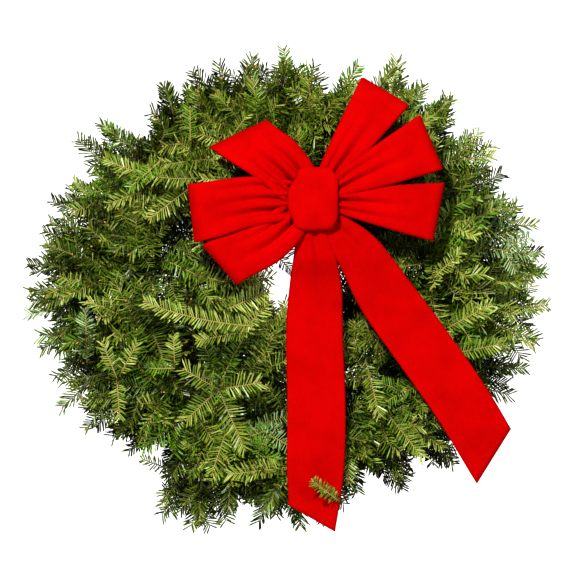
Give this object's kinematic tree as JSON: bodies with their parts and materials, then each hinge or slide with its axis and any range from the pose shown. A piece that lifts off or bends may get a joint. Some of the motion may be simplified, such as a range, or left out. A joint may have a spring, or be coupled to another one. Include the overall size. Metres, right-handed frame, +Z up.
{
  "type": "fresh evergreen wreath",
  "caption": "Round wreath of fresh fir bunches wired to a steel ring, with an open centre and a large velvet ribbon bow with loops and hanging tails.",
  "frame": {"origin": "the point at the top of the wire ring, on the inner side of the wire, where a hook or a nail carries the wreath; the ring's centre is 150.5 mm straight below it", "axes": "+X to the right and +Z up as the wreath hangs, with its face and bow towards -Y and its back towards +Y"},
  "size_m": [0.5858, 0.1675, 0.537],
  "materials": {
    "fir": "fresh fir sprays: flat two-ranked needles, deep green above and silvery green below, on tan-brown twigs with small resin buds",
    "red_velvet": "bright red short-pile velvet ribbon, matt with a soft sheen along folds",
    "ring_steel": "dark green enamelled steel wire",
    "binding_steel": "thin green florist wire, satin"
  },
  "bodies": {
    "root": {"wire_ring": "ring_steel", "binding_wire": "binding_steel", "bow_tie_wire": "binding_steel", "outer_bunch_01": "fir", "outer_bunch_02": "fir", "outer_bunch_03": "fir", "outer_bunch_04": "fir", "outer_bunch_05": "fir", "outer_bunch_06": "fir", "outer_bunch_07": "fir", "outer_bunch_08": "fir", "outer_bunch_09": "fir", "outer_bunch_10": "fir", "outer_bunch_11": "fir", "outer_bunch_12": "fir", "outer_bunch_13": "fir", "outer_bunch_14": "fir", "outer_bunch_15": "fir", "outer_bunch_16": "fir", "front_bunch_01": "fir", "front_bunch_02": "fir", "front_bunch_03": "fir", "front_bunch_04": "fir", "front_bunch_05": "fir", "front_bunch_06": "fir", "front_bunch_07": "fir", "front_bunch_08": "fir", "front_bunch_09": "fir", "front_bunch_10": "fir", "front_bunch_11": "fir", "front_bunch_12": "fir", "crown_bunch_01": "fir", "crown_bunch_02": "fir", "crown_bunch_03": "fir", "crown_bunch_04": "fir", "crown_bunch_05": "fir", "crown_bunch_06": "fir", "crown_bunch_07": "fir", "crown_bunch_08": "fir", "inner_bunch_01": "fir", "inner_bunch_02": "fir", "inner_bunch_03": "fir", "inner_bunch_04": "fir", "inner_bunch_05": "fir", "inner_bunch_06": "fir", "inner_bunch_07": "fir", "inner_bunch_08": "fir", "bow_knot": "red_velvet", "bow_loop_top_right": "red_velvet", "bow_loop_right": "red_velvet", "bow_loop_low_right": "red_velvet", "bow_loop_top_left": "red_velvet", "bow_loop_left": "red_velvet", "bow_loop_low_left": "red_velvet", "bow_tail_left": "red_velvet", "bow_tail_right": "red_velvet"}
  },
  "joints": []
}
